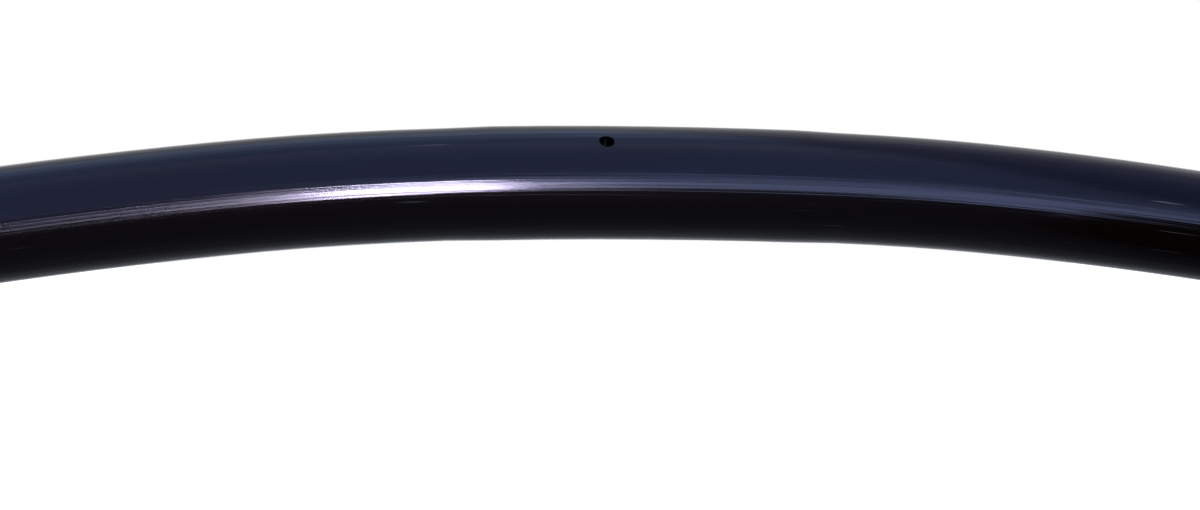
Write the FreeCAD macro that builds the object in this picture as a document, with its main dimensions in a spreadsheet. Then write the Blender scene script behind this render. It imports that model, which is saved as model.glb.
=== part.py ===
import FreeCAD, Part
import math
import os
import re

import Sketcher
from FreeCAD import Placement, Rotation, Vector

# A dripper soaker hose, 7.5 m of 16 mm polyethylene pipe, lying on a flat surface, in millimetres.
# X runs along the hose from the tap connector to the flush cap, Z is up and z = 0 is the surface.
# From the tap connector the hose rises into a low arch, over which water leaves through an outlet,
# and comes down onto a tied hank that holds the rest of its length.

SIZES = {
    # hose
    "hose_length": 7500.0,
    "hose_radius": 8.0,
    "hose_wall": 1.2,
    "hose_sides": 12,
    "outlet_radius": 1.1,
    "outlet_angle": 45.0,
    # places on the surface
    "outlet_place": -44.5,
    "hose_line": 63.4,
    "tap_offset": 34.0,
    "tap_height": 17.6,
    "hose_start": 500.0,
    "hose_top": 76.8,
    # hank
    "hank_left": 157.0,
    "hank_entry": 212.0,
    "hank_fold_radius": 65.1,
    "strand_pitch": 16.6,
    "layer_pitch": 16.5,
    "coil_flat": 4.57,
    "layers": 4,
    "folds_per_layer": 3,
    # last stretch, to the end fitting
    "end_straight": 12.0,
    "end_rise_start": 30.0,
    "end_rise_stop": 52.0,
    "end_reach": 86.0,
    "end_height": 13.2,
    # sides of a round wall of the small pieces, few enough to keep their facets light
    "round_sides": 24,
    # spigot that both fittings put inside the hose
    "spigot_length": 20.0,
    "spigot_radius": 6.5,
    "spigot_bore": 4.6,
    "barb_radius": 6.95,
    "barb_pitch": 6.0,
    "barb_gap": 1.0,
    # socket, grip ring and lock nut of both fittings
    "socket_floor": 3.0,
    "socket_depth": 9.0,
    "socket_bore": 8.5,
    "socket_radius": 10.3,
    "collar_radius": 12.6,
    "collar_length": 4.0,
    "ring_bore": 8.45,
    "ring_thin": 9.3,
    "ring_thick": 10.2,
    "ring_start": 9.3,
    "ring_length": 6.6,
    "ring_split": 2.2,
    "nut_start": 1.5,
    "nut_length": 19.0,
    "nut_thread": 10.6,
    "nut_radius": 12.2,
    "nut_lip": 8.7,
    "nut_ribs": 12,
    "nut_rib_radius": 13.0,
    "nut_rib_width": 2.2,
    "fit_gap": 0.3,
    "edge_break": 0.8,
    # tap connector
    "neck_length": 4.9,
    "neck_radius": 8.8,
    "flange_length": 2.6,
    "flange_radius": 11.6,
    "restrictor_radius": 6.1,
    "restrictor_length": 2.1,
    "restrictor_hole": 1.25,
    "screen_sheet": 0.6,
    "screen_rim": 10.4,
    "screen_dome": 6.0,
    "screen_rise": 2.4,
    "washer_length": 2.8,
    "washer_radius": 11.9,
    "washer_bore": 6.9,
    "tap_thread": 12.1,
    "tap_thread_length": 11.0,
    "tap_relief": 12.7,
    "tap_lip": 9.1,
    "tap_lip_length": 3.6,
    "tap_nut_radius": 15.6,
    "tap_ribs": 12,
    "tap_rib_radius": 17.3,
    "tap_rib_width": 2.6,
    # end fitting
    "spout_radius": 9.0,
    "spout_length": 9.5,
    "spout_bore": 5.5,
    "seal_radius": 8.8,
    "seal_length": 2.0,
    "cap_bore": 9.3,
    "cap_radius": 11.8,
    "cap_gap": 1.0,
    "cap_floor": 2.6,
    "cap_ribs": 12,
    "cap_rib_radius": 12.8,
    "cap_rib_width": 2.4,
    # emitter inside the hose
    "emitter_left": 21.5,
    "emitter_right": 33.5,
    "emitter_drop": 0.1,
    "emitter_radius": 6.7,
    "emitter_bore": 4.5,
    "pool_half": 2.2,
    "pool_radius": 5.8,
    "maze_start": 4.0,
    "maze_teeth": 7,
    "maze_pitch": 3.6,
    "maze_width": 5.0,
    "maze_tooth": 1.9,
    "maze_channel": 1.2,
    "maze_depth": 0.9,
    "maze_count": 2,
    "slot_length": 10.0,
    "slot_width": 1.0,
    "slot_angle": 36.0,
    "chamber_start": 18.5,
    "chamber_length": 12.0,
    "chamber_half": 3.4,
    "chamber_depth": 1.6,
    "diaphragm_thickness": 0.6,
    "cover_thickness": 0.9,
    "part_gap": 0.15,
    # cable ties
    "tie_thickness": 1.2,
    "tie_width": 4.8,
    "tie_slack": 0.4,
    "tie_corner": 3.6,
    "tie_head_length": 8.0,
    "tie_head_width": 7.0,
    "tie_head_height": 4.4,
    "tie_tail": 9.0,
}

doc = FreeCAD.newDocument("soaker_hose")
sheet = doc.addObject("Spreadsheet::Sheet", "Sizes")
for row, (alias, size) in enumerate(SIZES.items(), 1):
    sheet.set(f"A{row}", alias)
    sheet.set(f"B{row}", str(size))
    sheet.setAlias(f"B{row}", alias)
doc.recompute()

subparts = []


def bound(text):
    """The expression with each alias in it read from the sheet."""
    return re.sub(r"[a-z][a-z_]+(?![\w(])", r"Sizes.\g<0>", text)


def size(text):
    """What the sheet gives for an alias or for sums with aliases."""
    return float(sheet.evalExpression(bound(text)))


def origin_feature(body, role):
    return next(f for f in body.Origin.OriginFeatures if f.Role == role)


def bind(thing, **sizes):
    for name, text in sizes.items():
        thing.setExpression(name, bound(text))


def new_body(label, x="0", y="0", z="0", turned=False):
    """A body whose own X axis runs along the hose, or against it when it is turned."""
    body = doc.addObject("PartDesign::Body", label)
    body.Label = label
    if turned:
        body.Placement = Placement(Vector(), Rotation(Vector(0, 0, 1), 180))
    bind(body, **{"Placement.Base.x": x, "Placement.Base.y": y, "Placement.Base.z": z})
    subparts.append(body)
    return body


def add_loop(sketch, corners):
    """Closed lines through the corners, with both distances of each corner bound to the sheet."""
    points = [Vector(size(u), size(v), 0) for u, v in corners]
    first = sketch.GeometryCount
    for start, stop in zip(points, points[1:] + points[:1]):
        sketch.addGeometry(Part.LineSegment(start, stop), False)
    for number in range(len(points)):
        after = (number + 1) % len(points)
        sketch.addConstraint(Sketcher.Constraint("Coincident", first + number, 2, first + after, 1))
    for number, corner in enumerate(corners):
        for kind, text in zip(("DistanceX", "DistanceY"), corner):
            made = sketch.addConstraint(Sketcher.Constraint(kind, first + number, 1, size(text)))
            sketch.setExpression(f"Constraints[{made}]", bound(text))


def outline(body, name, plane, corners, lift="0", hole=None):
    """A closed sketch on a plane of the body, with a hole in it where one is given."""
    sketch = body.newObject("Sketcher::SketchObject", name)
    sketch.AttachmentSupport = (origin_feature(body, plane), [""])
    sketch.MapMode = "FlatFace"
    sketch.setExpression("AttachmentOffset.Base.z", bound(lift))
    add_loop(sketch, corners)
    if hole:
        add_loop(sketch, hole)
    return sketch


def regular(radius, sides):
    """Corners of a regular outline round the body's axis."""
    corners = []
    for number in range(sides):
        angle = 360 * number / sides
        corners.append((f"({radius}) * cos({angle:g})", f"({radius}) * sin({angle:g})"))
    return corners


def rings_of(corners):
    """Each corner of a lathe outline carried round the X axis as a regular ring of points."""
    sides = int(size("round_sides"))
    angles = [2 * math.pi * number / sides for number in range(sides)]
    rings = []
    for along, radius in corners:
        u, r = size(along), size(radius)
        rings.append([Vector(u, r * math.cos(angle), r * math.sin(angle)) for angle in angles])
    return rings


def turn(body, name, corners):
    """The body's blank: an outline of (distance along the axis, radius) corners carried round X.

    A revolution has no flat sides, so the blank is made of plane faces between the rings.
    """
    rings = rings_of(corners)
    faces = []
    for one, two in zip(rings, rings[1:] + rings[:1]):
        for number in range(len(one)):
            after = (number + 1) % len(one)
            loop = []
            for point in (one[number], one[after], two[after], two[number]):
                if all(point.distanceToPoint(other) > 1e-6 for other in loop):
                    loop.append(point)
            if len(loop) > 2:
                faces.append(Part.Face(Part.makePolygon(loop + loop[:1])))
    solid = Part.Solid(Part.Shell(faces)).removeSplitter()
    if solid.Volume < 0:
        solid.reverse()
    blank = doc.addObject("Part::Feature", f"{body.Label}_{name}")
    blank.Shape = solid
    body.BaseFeature = blank
    doc.recompute()
    return blank


def groove(body, name, corners):
    """Turn an outline of (distance along the axis, radius) corners out of the body."""
    before = body.Shape.Volume
    sketch = outline(body, name + "_outline", "XY_Plane", corners)
    cut = body.newObject("PartDesign::Groove", name)
    cut.Profile = sketch
    cut.ReferenceAxis = (sketch, ["H_Axis"])
    cut.Angle = 360
    doc.recompute()
    assert body.Shape.Volume < before, name
    return cut


def pad(body, name, plane, corners, length, lift="0", midplane=False, hole=None):
    sketch = outline(body, name + "_outline", plane, corners, lift, hole)
    made = body.newObject("PartDesign::Pad", name)
    made.Profile = sketch
    made.Midplane = midplane
    bind(made, Length=length)
    doc.recompute()
    return made


def pocket(body, name, plane, corners, length, lift="0", reverse=True):
    """Cut an outline out of the body, away from the plane's front when it is reversed."""
    before = body.Shape.Volume
    sketch = outline(body, name + "_outline", plane, corners, lift)
    cut = body.newObject("PartDesign::Pocket", name)
    cut.Profile = sketch
    cut.Reversed = reverse
    bind(cut, Length=length)
    doc.recompute()
    assert body.Shape.Volume < before, name
    return cut


def polar(body, name, feature, count, angle=360):
    pattern = body.newObject("PartDesign::PolarPattern", name)
    pattern.Originals = [feature]
    pattern.Axis = (origin_feature(body, "X_Axis"), [""])
    pattern.Angle = angle
    bind(pattern, Occurrences=count)
    body.Tip = pattern
    doc.recompute()
    return pattern


def ribs(body, start, length, inner, outer, width, count):
    """Grip ribs along the body's axis, sunk into the wall that carries them."""
    corners = [
        (f"-({width}) / 2", inner),
        (f"({width}) / 2", inner),
        (f"({width}) / 2 - 0.5", outer),
        (f"0.5 - ({width}) / 2", outer),
    ]
    rib = pad(body, "rib", "YZ_Plane", corners, length, lift=start)
    polar(body, "ribs", rib, count)


# Fittings. In each body's own frame the hose's cut end is at 0 and the hose runs to the plus side.

FEED = {"x": "outlet_place - hose_start", "y": "hose_line - tap_offset", "z": "tap_height"}
END = {"x": "0", "y": "hose_line", "z": "end_height", "turned": True}


def spigot_corners():
    """The barbed spigot's outer corners, from its tip back to the socket's floor."""
    corners = [
        ("spigot_length", "spigot_bore"),
        ("spigot_length", "spigot_radius - edge_break"),
    ]
    for number in range(3):
        back = f"spigot_length - {number} * barb_pitch"
        corners += [
            (f"{back} - barb_pitch + barb_gap", "barb_radius"),
            (f"{back} - barb_pitch + barb_gap", "spigot_radius - 0.2"),
        ]
    return corners


def socket_corners():
    """From the spigot's root, out over the socket's wall and back to the collar."""
    return [
        ("0", "spigot_radius - 0.2"),
        ("0", "socket_bore"),
        ("socket_depth", "socket_bore"),
        ("socket_depth", "socket_radius - 0.4"),
        ("socket_depth - 0.4", "socket_radius"),
        ("-socket_floor", "socket_radius"),
    ]


def collar(body):
    """The hexagon that a spanner holds while the lock nut is turned."""
    hexagon = regular("collar_radius", 6)
    inside = regular("neck_radius - 2", 6)
    pad(body, "collar", "YZ_Plane", hexagon, "collar_length", "-socket_floor - collar_length", hole=inside)


def inlet_tail():
    body = new_body("inlet_tail", **FEED)
    face = "-socket_floor - collar_length - neck_length - flange_length"
    pocket_floor = f"{face} + restrictor_length"
    corners = (
        spigot_corners()
        + socket_corners()
        + [
            ("-socket_floor - collar_length", "socket_radius"),
            ("-socket_floor - collar_length", "neck_radius"),
            (f"{face} + flange_length", "neck_radius"),
            (f"{face} + flange_length", "flange_radius"),
            (face, "flange_radius"),
            (face, "restrictor_radius + part_gap"),
            (pocket_floor, "restrictor_radius + part_gap"),
            (pocket_floor, "spigot_bore"),
        ]
    )
    turn(body, "tail", corners)
    collar(body)


def flow_restrictor():
    body = new_body("flow_restrictor", **FEED)
    face = "-socket_floor - collar_length - neck_length - flange_length"
    stop = f"{face} + restrictor_length"
    corners = [
        (face, "restrictor_hole + 0.8"),
        (face, "restrictor_radius"),
        (stop, "restrictor_radius"),
        (stop, "restrictor_hole"),
        (f"{face} + 0.8", "restrictor_hole"),
    ]
    turn(body, "disc", corners)


def filter_screen():
    body = new_body("filter_screen", **FEED)
    rim = "-socket_floor - collar_length - neck_length - flange_length"
    front = f"{rim} - screen_sheet"
    corners = [
        (rim, "screen_rim"),
        (rim, "screen_dome"),
        (f"{rim} - screen_rise", "screen_dome * 0.3"),
        (f"{rim} - screen_rise", "0"),
        (f"{front} - screen_rise", "0"),
        (f"{front} - screen_rise", "screen_dome * 0.34"),
        (front, "screen_dome + 0.4"),
        (front, "screen_rim"),
    ]
    turn(body, "dome", corners)


def inlet_washer():
    body = new_body("inlet_washer", **FEED)
    back = "-socket_floor - collar_length - neck_length - flange_length - screen_sheet"
    front = f"{back} - washer_length"
    corners = [
        (back, "washer_bore"),
        (back, "washer_radius"),
        (front, "washer_radius"),
        (front, "washer_bore"),
    ]
    turn(body, "washer", corners)


def swivel_nut():
    body = new_body("swivel_nut", **FEED)
    back = "-socket_floor - collar_length - 1.0"
    lip = f"{back} - tap_lip_length"
    thread = f"{lip} - flange_length - fit_gap - screen_sheet - washer_length - 0.1"
    mouth = f"{thread} - tap_thread_length"
    corners = [
        (back, "tap_lip"),
        (back, "tap_nut_radius - 2 * edge_break"),
        (f"{back} - 2 * edge_break", "tap_nut_radius"),
        (f"{mouth} + edge_break", "tap_nut_radius"),
        (mouth, "tap_nut_radius - edge_break"),
        (mouth, "tap_lip + 2"),
        (thread, "tap_lip + 2"),
        (thread, "tap_relief"),
        (lip, "tap_relief"),
        (lip, "tap_lip"),
    ]
    turn(body, "shell", corners)
    thread_bore = [
        (f"{mouth} - 1", "0"),
        (thread, "0"),
        (thread, "tap_thread"),
        (f"{mouth} - 1", "tap_thread"),
    ]
    groove(body, "thread_bore", thread_bore)
    length = "tap_thread_length + washer_length + flange_length"
    ribs(body, f"{mouth} + 1.6", length, "tap_thread + 1", "tap_rib_radius", "tap_rib_width", "tap_ribs")


def grip_ring(label, place):
    """A split cone that the lock nut squeezes onto the hose."""
    body = new_body(label, **place)
    stop = "ring_start + ring_length"
    corners = [
        ("ring_start", "ring_bore"),
        ("ring_start", "ring_thick - 0.3"),
        ("ring_start + 0.5", "ring_thick"),
        (stop, "ring_thin"),
        (stop, "ring_bore"),
    ]
    turn(body, "cone", corners)
    split = [
        ("ring_start - 1", "-ring_split / 2"),
        (f"{stop} + 1", "-ring_split / 2"),
        (f"{stop} + 1", "ring_split / 2"),
        ("ring_start - 1", "ring_split / 2"),
    ]
    pocket(body, "split", "XY_Plane", split, "ring_thick + 2")


def lock_nut(label, place):
    """A ribbed nut that screws over the socket and drives the grip ring into it."""
    body = new_body(label, **place)
    stop = "nut_start + nut_length"
    corners = [
        ("nut_start", "nut_thread"),
        ("ring_start + 0.5", "nut_thread"),
        ("ring_start + ring_length + fit_gap", "ring_thin + fit_gap + 0.1"),
        ("ring_start + ring_length + fit_gap", "nut_lip"),
        (stop, "nut_lip"),
        (stop, "nut_radius - 2 * edge_break"),
        (f"{stop} - 2.5 * edge_break", "nut_radius"),
        ("nut_start", "nut_radius"),
    ]
    turn(body, "shell", corners)
    ribs(body, "nut_start", "nut_length - 3", "nut_thread + 0.9", "nut_rib_radius", "nut_rib_width", "nut_ribs")


def end_body():
    body = new_body("end_body", **END)
    root = "-socket_floor - collar_length"
    tip = f"{root} - spout_length"
    corners = (
        spigot_corners()
        + socket_corners()
        + [
            (root, "socket_radius"),
            (root, "spout_radius"),
            (f"{tip} + 0.6", "spout_radius"),
            (tip, "spout_radius - 0.6"),
            (tip, "spout_bore"),
            (f"{root}", "spigot_bore"),
        ]
    )
    turn(body, "plug", corners)
    collar(body)


def cap_seal():
    body = new_body("cap_seal", **END)
    face = "-socket_floor - collar_length - spout_length - 0.1"
    corners = [
        (face, "0"),
        (face, "seal_radius"),
        (f"{face} - seal_length", "seal_radius"),
        (f"{face} - seal_length", "0"),
    ]
    turn(body, "disc", corners)


def flush_cap():
    body = new_body("flush_cap", **END)
    root = "-socket_floor - collar_length"
    inside = f"{root} - spout_length - seal_length - 0.2"
    outside = f"{inside} - cap_floor"
    mouth = f"{root} - cap_gap"
    corners = [
        (mouth, "cap_bore - 0.8"),
        (mouth, "cap_radius"),
        (f"{outside} + 2 * edge_break", "cap_radius"),
        (outside, "cap_radius - 2 * edge_break"),
        (outside, "0"),
        (inside, "0"),
        (inside, "cap_bore - 0.8"),
    ]
    turn(body, "cup", corners)
    thread_bore = [
        (inside, "0"),
        (f"{mouth} + 1", "0"),
        (f"{mouth} + 1", "cap_bore"),
        (inside, "cap_bore"),
    ]
    groove(body, "thread_bore", thread_bore)
    length = "spout_length + seal_length + cap_floor - cap_gap - 3 * edge_break"
    ribs(body, f"{outside} + 3 * edge_break", length, "cap_bore + 0.9", "cap_rib_radius", "cap_rib_width", "cap_ribs")


# Hose


def smooth_route(points):
    """Straight runs joined by arcs that take 0.45 of the shorter run beside each point."""
    edges = []
    radii = []
    start = points[0]
    for before, corner, after in zip(points, points[1:], points[2:]):
        into = corner - before
        out = after - corner
        reach = 0.45 * min(into.Length, out.Length)
        into.normalize()
        out.normalize()
        half = into.getAngle(out) / 2
        radius = reach / math.tan(half)
        first = corner - into * reach
        last = corner + out * reach
        inwards = out - into
        inwards.normalize()
        middle = corner + inwards * (radius / math.cos(half) - radius)
        edges.append(Part.LineSegment(start, first).toShape())
        edges.append(Part.Arc(first, middle, last).toShape())
        radii.append(radius)
        start = last
    edges.append(Part.LineSegment(start, points[-1]).toShape())
    return Part.Wire(edges), radii


def ring_of(centre, heading, sides, corner_radius):
    """A regular outline square to the heading, with a flat side up."""
    across = Vector(0, 0, 1).cross(heading).normalize()
    up = heading.cross(across).normalize()
    corners = []
    for number in range(sides):
        angle = 2 * math.pi * (number + 0.5) / sides
        corners.append(centre + across * (corner_radius * math.sin(angle)) + up * (corner_radius * math.cos(angle)))
    return Part.makePolygon(corners + corners[:1])


def sweep(path, outline_wire):
    shell = Part.BRepOffsetAPI.MakePipeShell(path)
    shell.add(outline_wire)
    shell.build()
    shell.makeSolid()
    return shell.shape()


def polygon_area(sides, corner_radius):
    return sides / 2 * corner_radius**2 * math.sin(2 * math.pi / sides)


def equal_area_radius(radius, sides):
    """The corner radius of a regular outline that holds as much as a circle."""
    return radius * math.sqrt(math.pi / (sides / 2 * math.sin(2 * math.pi / sides)))


def check_sweep(name, shape, area, path):
    ratio = shape.Volume / (area * path.Length)
    print(f"{name}: length {path.Length:.1f} mm, volume over section x length {ratio:.5f}")
    assert abs(ratio - 1) < 0.002, name


def pipe(name, points):
    """A free stretch of the hose, with its bore, along a route of hand-placed points."""
    path, radii = smooth_route(points)
    heading = points[1] - points[0]
    heading.normalize()
    sides = int(size("hose_sides"))
    outer = equal_area_radius(size("hose_radius"), sides)
    inner = equal_area_radius(size("hose_radius - hose_wall"), sides)
    skin = sweep(path, ring_of(points[0], heading, sides, outer))
    hollow = sweep(path, ring_of(points[0], heading, sides, inner))
    wall = skin.cut(hollow)
    area = polygon_area(sides, outer) - polygon_area(sides, inner)
    check_sweep(name, wall, area, path)
    print(f"{name}: radii", [round(radius) for radius in radii])
    return wall, path


def add_shape(label, shape):
    feature = doc.addObject("Part::Feature", label)
    feature.Label = label
    feature.Shape = shape
    subparts.append(feature)
    bind(feature, **{"Placement.Base.x": "outlet_place", "Placement.Base.y": "hose_line"})
    return feature


# The route from the tap connector to the hank, seen from the outlet below the top of the arch.
HOSE_ROUTE = [
    (-500, -34, 17.6),
    (-450, -34, 17.6),
    (-385, -33, 20),
    (-310, -30, 29),
    (-235, -25.5, 41.5),
    (-170, -17, 54.2),
    (-122, -7.5, 64.7),
    (-76, -1.5, 72.15),
    (-28, 0, 76.95),
    (34, 0, 76.7),
    (74, 0, 73.25),
    (118, 0, 66.6),
    (156, 0, 61.2),
    (190, 0, 58.7),
    (212, 0, 58.7),
]


def outlet_cutter():
    """A drill through the near upper wall of the hose, over the emitter's pool."""
    height = size("hose_top")
    slope = Rotation(Vector(1, 0, 0), 90 - size("outlet_angle"))
    way = slope.multVec(Vector(0, 0, 1))
    start = Vector(0, 0, height) + way * size("pool_radius + 0.3")
    return Part.makeCylinder(size("outlet_radius"), size("hose_radius"), start, way)


def hose():
    wall, path = pipe("hose", [Vector(*point) for point in HOSE_ROUTE])
    add_shape("hose", wall.cut(outlet_cutter()))
    return path.Length


def layer_height(layer):
    """Middle of a layer of the hank, counted from 0 at the top."""
    below = size("layers") - 1 - layer
    return size("tie_thickness + hose_radius") + below * size("layer_pitch")


def fold_radii(layer):
    """The folds of one layer, drawing in on the top layer and out again on the next."""
    step = size("strand_pitch") / 2
    inwards = [size("hank_fold_radius") - number * step for number in range(int(size("folds_per_layer")))]
    return inwards if layer % 2 == 0 else inwards[::-1]


def run_length(spent):
    """The hank's straight run that gives the whole hose its length."""
    layers = int(size("layers"))
    folds = math.pi * sum(sum(fold_radii(layer)) for layer in range(layers))
    runs = layers * int(size("folds_per_layer")) + 1
    known = spent + folds + size("hank_left - hank_entry + end_straight")
    return (size("hose_length") - known) / runs


def climbing_run(start, stop):
    """Two arcs that leave and arrive level."""
    run = (stop.x - start.x) / 2
    drop = (start.z - stop.z) / 2
    middle = (start + stop) / 2
    radius = (run**2 + drop**2) / (2 * drop)
    angle = math.atan2(drop, abs(run))
    side = math.copysign(radius * math.sin(angle), run)
    sag = radius * (1 - math.cos(angle))
    first = Part.Arc(start, start + Vector(side, 0, -sag), middle)
    last = Part.Arc(middle, stop + Vector(-side, 0, sag), stop)
    return [first.toShape(), last.toShape()]


def hank_edges(run):
    """The hank's middle line: it folds at each end and goes down a layer where the folds turn back."""
    left = size("hank_left")
    right = left + run
    here = Vector(size("hank_entry"), 0, layer_height(0))
    there = Vector(right, 0, here.z)
    edges = [Part.LineSegment(here, there).toShape()]
    here = there
    layers = int(size("layers"))
    for layer in range(layers):
        radii = fold_radii(layer)
        for number, radius in enumerate(radii):
            at_right = abs(here.x - right) < 1
            across = -2 * radius if at_right else 2 * radius
            bulge = radius if at_right else -radius
            there = here + Vector(0, across, 0)
            edges.append(Part.Arc(here, here + Vector(bulge, across / 2, 0), there).toShape())
            here = there
            last_fold = number == len(radii) - 1
            if last_fold and layer == layers - 1:
                there = Vector(right + size("end_straight"), here.y, here.z)
                edges.append(Part.LineSegment(here, there).toShape())
            elif last_fold:
                there = Vector(left if at_right else right, here.y, layer_height(layer + 1))
                edges += climbing_run(here, there)
            else:
                there = Vector(left if at_right else right, here.y, here.z)
                edges.append(Part.LineSegment(here, there).toShape())
            here = there
    return edges


def least_gap(path, thickness):
    """The least free space between strands, measured on points along the middle line."""
    spacing = 4.0
    skip = int(4 * thickness / spacing)
    points = path.discretize(Distance=spacing)
    cells = {}
    for number, point in enumerate(points):
        cell = tuple(int(part // 20) for part in point)
        cells.setdefault(cell, []).append(number)
    least = 1e9
    for (a, b, c), numbers in cells.items():
        near = []
        for i in (a - 1, a, a + 1):
            for j in (b - 1, b, b + 1):
                for k in (c - 1, c, c + 1):
                    near += cells.get((i, j, k), [])
        for one in numbers:
            for other in near:
                if other - one > skip:
                    least = min(least, points[one].distanceToPoint(points[other]))
    return least - thickness


def strand_outline(centre):
    """A six-sided section, flat above and below, that holds as much as the round hose."""
    wide = size("hose_radius")
    flat = size("coil_flat")
    corners = [(wide, 0), (flat, wide), (-flat, wide), (-wide, 0), (-flat, -wide), (flat, -wide)]
    points = [centre + Vector(0, across, up) for across, up in corners]
    return Part.makePolygon(points + points[:1])


def hose_coil(run):
    path = Part.Wire(hank_edges(run))
    section = strand_outline(Vector(size("hank_entry"), 0, layer_height(0)))
    shape = sweep(path, section)
    check_sweep("hose_coil", shape, Part.Face(section).Area, path)
    print(f"hose_coil: run {run:.2f} mm, least gap between strands {least_gap(path, size("2 * hose_radius")):.2f} mm")
    add_shape("hose_coil", shape)
    return path.Length


def end_points(run):
    """The last stretch's route, rising from the bottom layer to the end fitting's height."""
    right = size("hank_left") + run
    low = layer_height(size("layers") - 1)
    high = size("end_height")
    return [
        Vector(right + size("end_straight"), 0, low),
        Vector(right + size("end_rise_start"), 0, low),
        Vector(right + size("end_rise_stop"), 0, high),
        Vector(right + size("end_reach"), 0, high),
    ]


def build_hose():
    """The three stretches of the hose, one after another, and the hank's run between folds."""
    first = hose()
    guess = end_points(300.0)
    last = smooth_route(guess)[0].Length
    climbs = sum(edge.Length for edge in hank_edges(220.0)) - flat_length(220.0)
    run = run_length(first + last + climbs)
    middle = hose_coil(run)
    wall, path = pipe("hose_end", end_points(run))
    add_shape("hose_end", wall)
    print(f"whole hose: {first + middle + path.Length:.1f} mm")
    return run


def flat_length(run):
    """The hank's length if its climbing runs lay flat."""
    layers = int(size("layers"))
    folds = math.pi * sum(sum(fold_radii(layer)) for layer in range(layers))
    runs = layers * int(size("folds_per_layer")) + 1
    return folds + runs * run + size("hank_left - hank_entry + end_straight")


# Emitter, a moulded cylinder welded inside the hose

EMITTER = {"x": "outlet_place", "y": "hose_line", "z": "hose_top - emitter_drop"}


def maze_corners():
    """The labyrinth channel: a strip whose two sides carry teeth in turn."""
    half = size("maze_width") / 2
    pitch = size("maze_pitch")
    tooth = size("maze_tooth")
    channel = size("maze_channel")
    reach = size("maze_width") - channel
    start = size("maze_start")
    upper = [(0.0, half)]
    lower = [(0.0, -half)]
    for number in range(int(size("maze_teeth"))):
        place = start + 1.0 + number * pitch / 2 - start
        side, sign = (upper, 1) if number % 2 == 0 else (lower, -1)
        edge = sign * half
        point = sign * (half - reach)
        side += [(place, edge), (place + tooth * 0.35, point), (place + tooth * 0.65, point), (place + tooth, edge)]
    stop = 1.0 + (int(size("maze_teeth")) - 1) * pitch / 2 + tooth + 1.0
    upper.append((stop, half))
    lower.append((stop, -half))
    return upper + lower[::-1]


def emitter_body():
    body = new_body("emitter_body", **EMITTER)
    corners = [
        ("-emitter_left", "emitter_bore"),
        ("-emitter_left", "emitter_radius"),
        ("-pool_half", "emitter_radius"),
        ("-pool_half", "pool_radius"),
        ("pool_half", "pool_radius"),
        ("pool_half", "emitter_radius"),
        ("emitter_right", "emitter_radius"),
        ("emitter_right", "emitter_bore"),
    ]
    turn(body, "tube", corners)
    chamber = [
        ("-chamber_start", "-chamber_half"),
        ("chamber_length - chamber_start", "-chamber_half"),
        ("chamber_length - chamber_start", "chamber_half"),
        ("-chamber_start", "chamber_half"),
    ]
    pocket(body, "chamber", "XY_Plane", chamber, "4", lift="emitter_radius - chamber_depth")
    slot = [
        ("-chamber_start", "-slot_width / 2"),
        ("slot_length - chamber_start", "-slot_width / 2"),
        ("slot_length - chamber_start", "slot_width / 2"),
        ("-chamber_start", "slot_width / 2"),
    ]
    cut = pocket(body, "inlet_slot", "XY_Plane", slot, "emitter_radius + 1", reverse=False)
    polar(body, "inlet_slots", cut, "5", angle=144)
    strip = [(f"maze_start + {u:.3f}", f"{v:.3f}") for u, v in maze_corners()]
    way_out = [
        ("0", "-maze_channel / 2"),
        ("maze_start + 0.2", "-maze_channel / 2"),
        ("maze_start + 0.2", "maze_channel / 2"),
        ("0", "maze_channel / 2"),
    ]
    maze = pocket(body, "labyrinth", "XZ_Plane", strip, "3", lift="emitter_radius - maze_depth")
    polar(body, "labyrinths", maze, "maze_count")
    link = pocket(body, "labyrinth_outlet", "XZ_Plane", way_out, "3", lift="emitter_radius - maze_depth")
    polar(body, "labyrinth_outlets", link, "maze_count")


def emitter_diaphragm():
    body = new_body("emitter_diaphragm", **EMITTER)
    corners = [
        ("part_gap - chamber_start", "part_gap - chamber_half"),
        ("chamber_length - chamber_start - part_gap", "part_gap - chamber_half"),
        ("chamber_length - chamber_start - part_gap", "chamber_half - part_gap"),
        ("part_gap - chamber_start", "chamber_half - part_gap"),
    ]
    pad(body, "sheet", "XY_Plane", corners, "diaphragm_thickness", lift="emitter_radius - chamber_depth")


def emitter_cover():
    body = new_body("emitter_cover", **EMITTER)
    flat = "emitter_radius - chamber_depth + diaphragm_thickness"
    corners = [
        ("part_gap - chamber_half", flat),
        ("chamber_half - part_gap", flat),
        ("chamber_half - part_gap", f"{flat} + 0.1"),
        ("chamber_half * 0.5", "emitter_radius * 0.955"),
        ("0", "emitter_radius * 0.99"),
        ("-chamber_half * 0.5", "emitter_radius * 0.955"),
        ("part_gap - chamber_half", f"{flat} + 0.1"),
    ]
    length = "chamber_length - 2 * part_gap"
    pad(body, "lid", "YZ_Plane", corners, length, lift="part_gap - chamber_start")
    window = [
        ("-chamber_start + 3.5", "-0.6"),
        ("chamber_length - chamber_start - 3.5", "-0.6"),
        ("chamber_length - chamber_start - 3.5", "0.6"),
        ("-chamber_start + 3.5", "0.6"),
    ]
    pocket(body, "window", "XY_Plane", window, "emitter_radius + 1")


# Cable ties round the strands of the hank


def strap_corners(half, low, high, corner):
    """A rectangle with its corners cut, seen along the strands."""
    return [
        (f"{half} - ({corner})", low),
        (half, f"{low} + {corner}"),
        (half, f"{high} - ({corner})"),
        (f"{half} - ({corner})", high),
        (f"{corner} - ({half})", high),
        (f"-({half})", f"{high} - ({corner})"),
        (f"-({half})", f"{low} + {corner}"),
        (f"{corner} - ({half})", low),
    ]


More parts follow.
